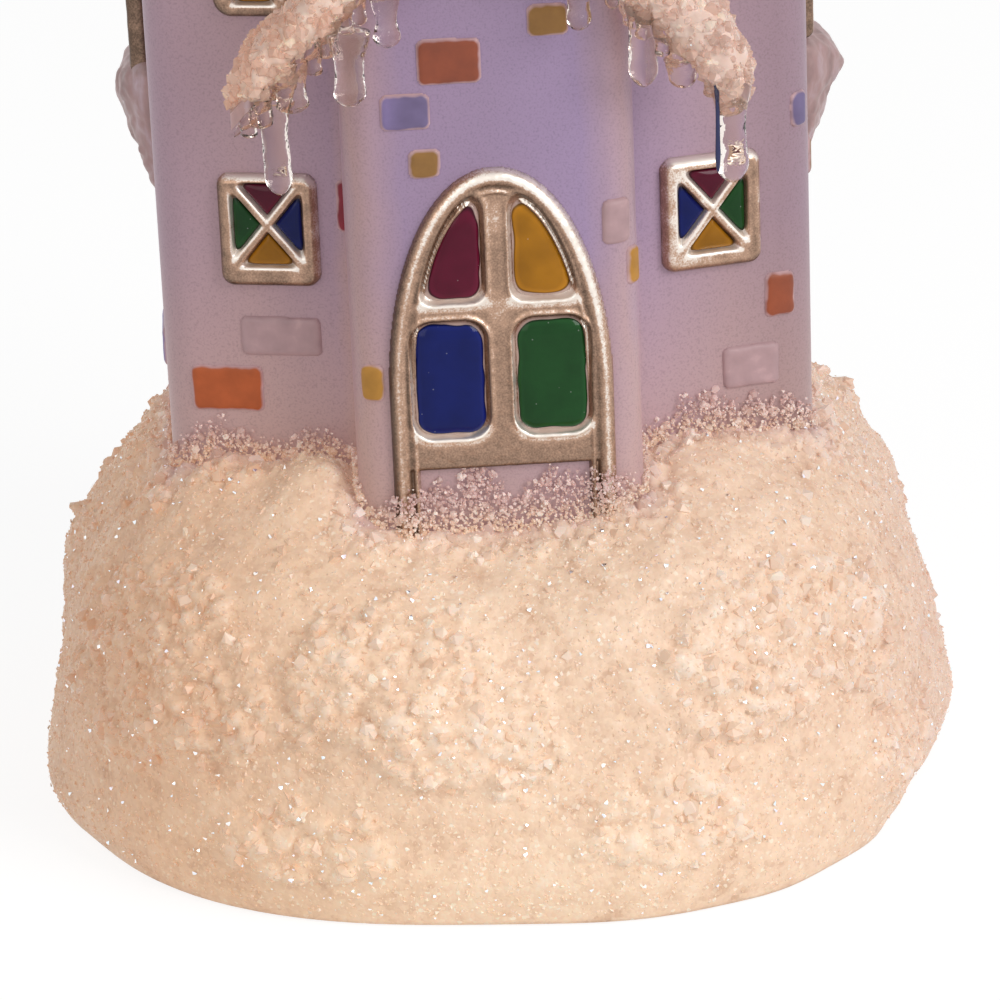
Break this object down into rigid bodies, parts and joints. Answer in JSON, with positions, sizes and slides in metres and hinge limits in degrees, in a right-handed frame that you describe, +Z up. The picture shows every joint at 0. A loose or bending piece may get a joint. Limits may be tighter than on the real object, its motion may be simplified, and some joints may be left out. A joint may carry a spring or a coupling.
{
  "type": "lighted village church",
  "caption": "Lighted village church of frosted plastic with stained-glass windows, gold door frame, snowy porch, roof and spire, on a snow mound that holds the lamp and battery case.",
  "frame": {"origin": "on the surface the church stands on, under the middle of the snow mound", "axes": "+Z up, the door faces -Y, +X to the right seen from the front"},
  "size_m": [0.152, 0.151, 0.3048],
  "materials": {
    "acrylic": "frosted, lit from inside",
    "snow": "coarse translucent grains with glitter",
    "ice": "clear, glossy",
    "gold": "satin champagne gold paint",
    "wine_resin": "glossy, domed",
    "amber_resin": "glossy, domed",
    "blue_resin": "glossy, domed",
    "green_resin": "glossy, domed",
    "window_resin": "glossy, domed, four colours",
    "housing_plastic": "moulded",
    "plate_plastic": "moulded",
    "switch_plastic": "moulded",
    "foot_rubber": "matte",
    "steel": "plated",
    "battery_sleeve": "printed film, plain",
    "board": "lacquered",
    "lamp": "clear",
    "diffuser": "frosted",
    "wire_black": "insulation",
    "wire_red": "insulation"
  },
  "bodies": {
    "church": {"snow_mound": "snow", "base_housing": "housing_plastic", "bottom_plate": "plate_plastic", "foot_front_left": "foot_rubber", "foot_front_right": "foot_rubber", "foot_back_left": "foot_rubber", "foot_back_right": "foot_rubber", "screw_front_left": "steel", "screw_front_right": "steel", "screw_back_left": "steel", "screw_back_right": "steel", "battery_1": "battery_sleeve", "battery_2": "battery_sleeve", "battery_3": "battery_sleeve", "contact_front_bridge": "steel", "contact_front_terminal": "steel", "contact_back_bridge": "steel", "contact_back_terminal": "steel", "switch_body": "switch_plastic", "circuit_board": "board", "led": "lamp", "light_diffuser": "diffuser", "wire_black": "wire_black", "wire_red_battery": "wire_red", "wire_red_switch": "wire_red", "church_body": "acrylic", "door_frame": "gold", "door_pane_wine": "wine_resin", "door_pane_amber": "amber_resin", "door_pane_blue": "blue_resin", "door_pane_green": "green_resin", "window_left_frame": "gold", "window_left_panes": "window_resin", "window_right_frame": "gold", "window_right_panes": "window_resin", "window_upper_left_frame": "gold", "window_upper_left_panes": "window_resin", "window_upper_right_frame": "gold", "window_upper_right_panes": "window_resin", "window_side_left_frame": "gold", "window_side_left_panes": "window_resin", "window_side_right_frame": "gold", "window_side_right_panes": "window_resin", "window_back_frame": "gold", "window_back_panes": "window_resin", "window_tower_frame": "gold", "window_tower_panes": "window_resin", "sill_snow_left": "snow", "sill_snow_right": "snow", "porch_roof": "acrylic", "porch_snow": "snow", "porch_icicles": "ice", "nave_roof": "acrylic", "nave_roof_snow": "snow", "belfry": "acrylic", "spire": "acrylic", "spire_snow": "snow", "cross": "gold"},
    "battery_door": {"battery_door": "plate_plastic"},
    "switch": {"switch_slider": "switch_plastic"}
  },
  "joints": [
    {"name": "battery_door_hinge", "type": "hinge", "parent": "church", "child": "battery_door", "pos_m": [0, 0.0275, 0.0035], "axis": [1, 0, 0], "range_deg": [0, 95]},
    {"name": "switch_slide", "type": "slide", "parent": "church", "child": "switch", "axis": [1, 0, 0], "range_m": [0, 0.004]}
  ]
}
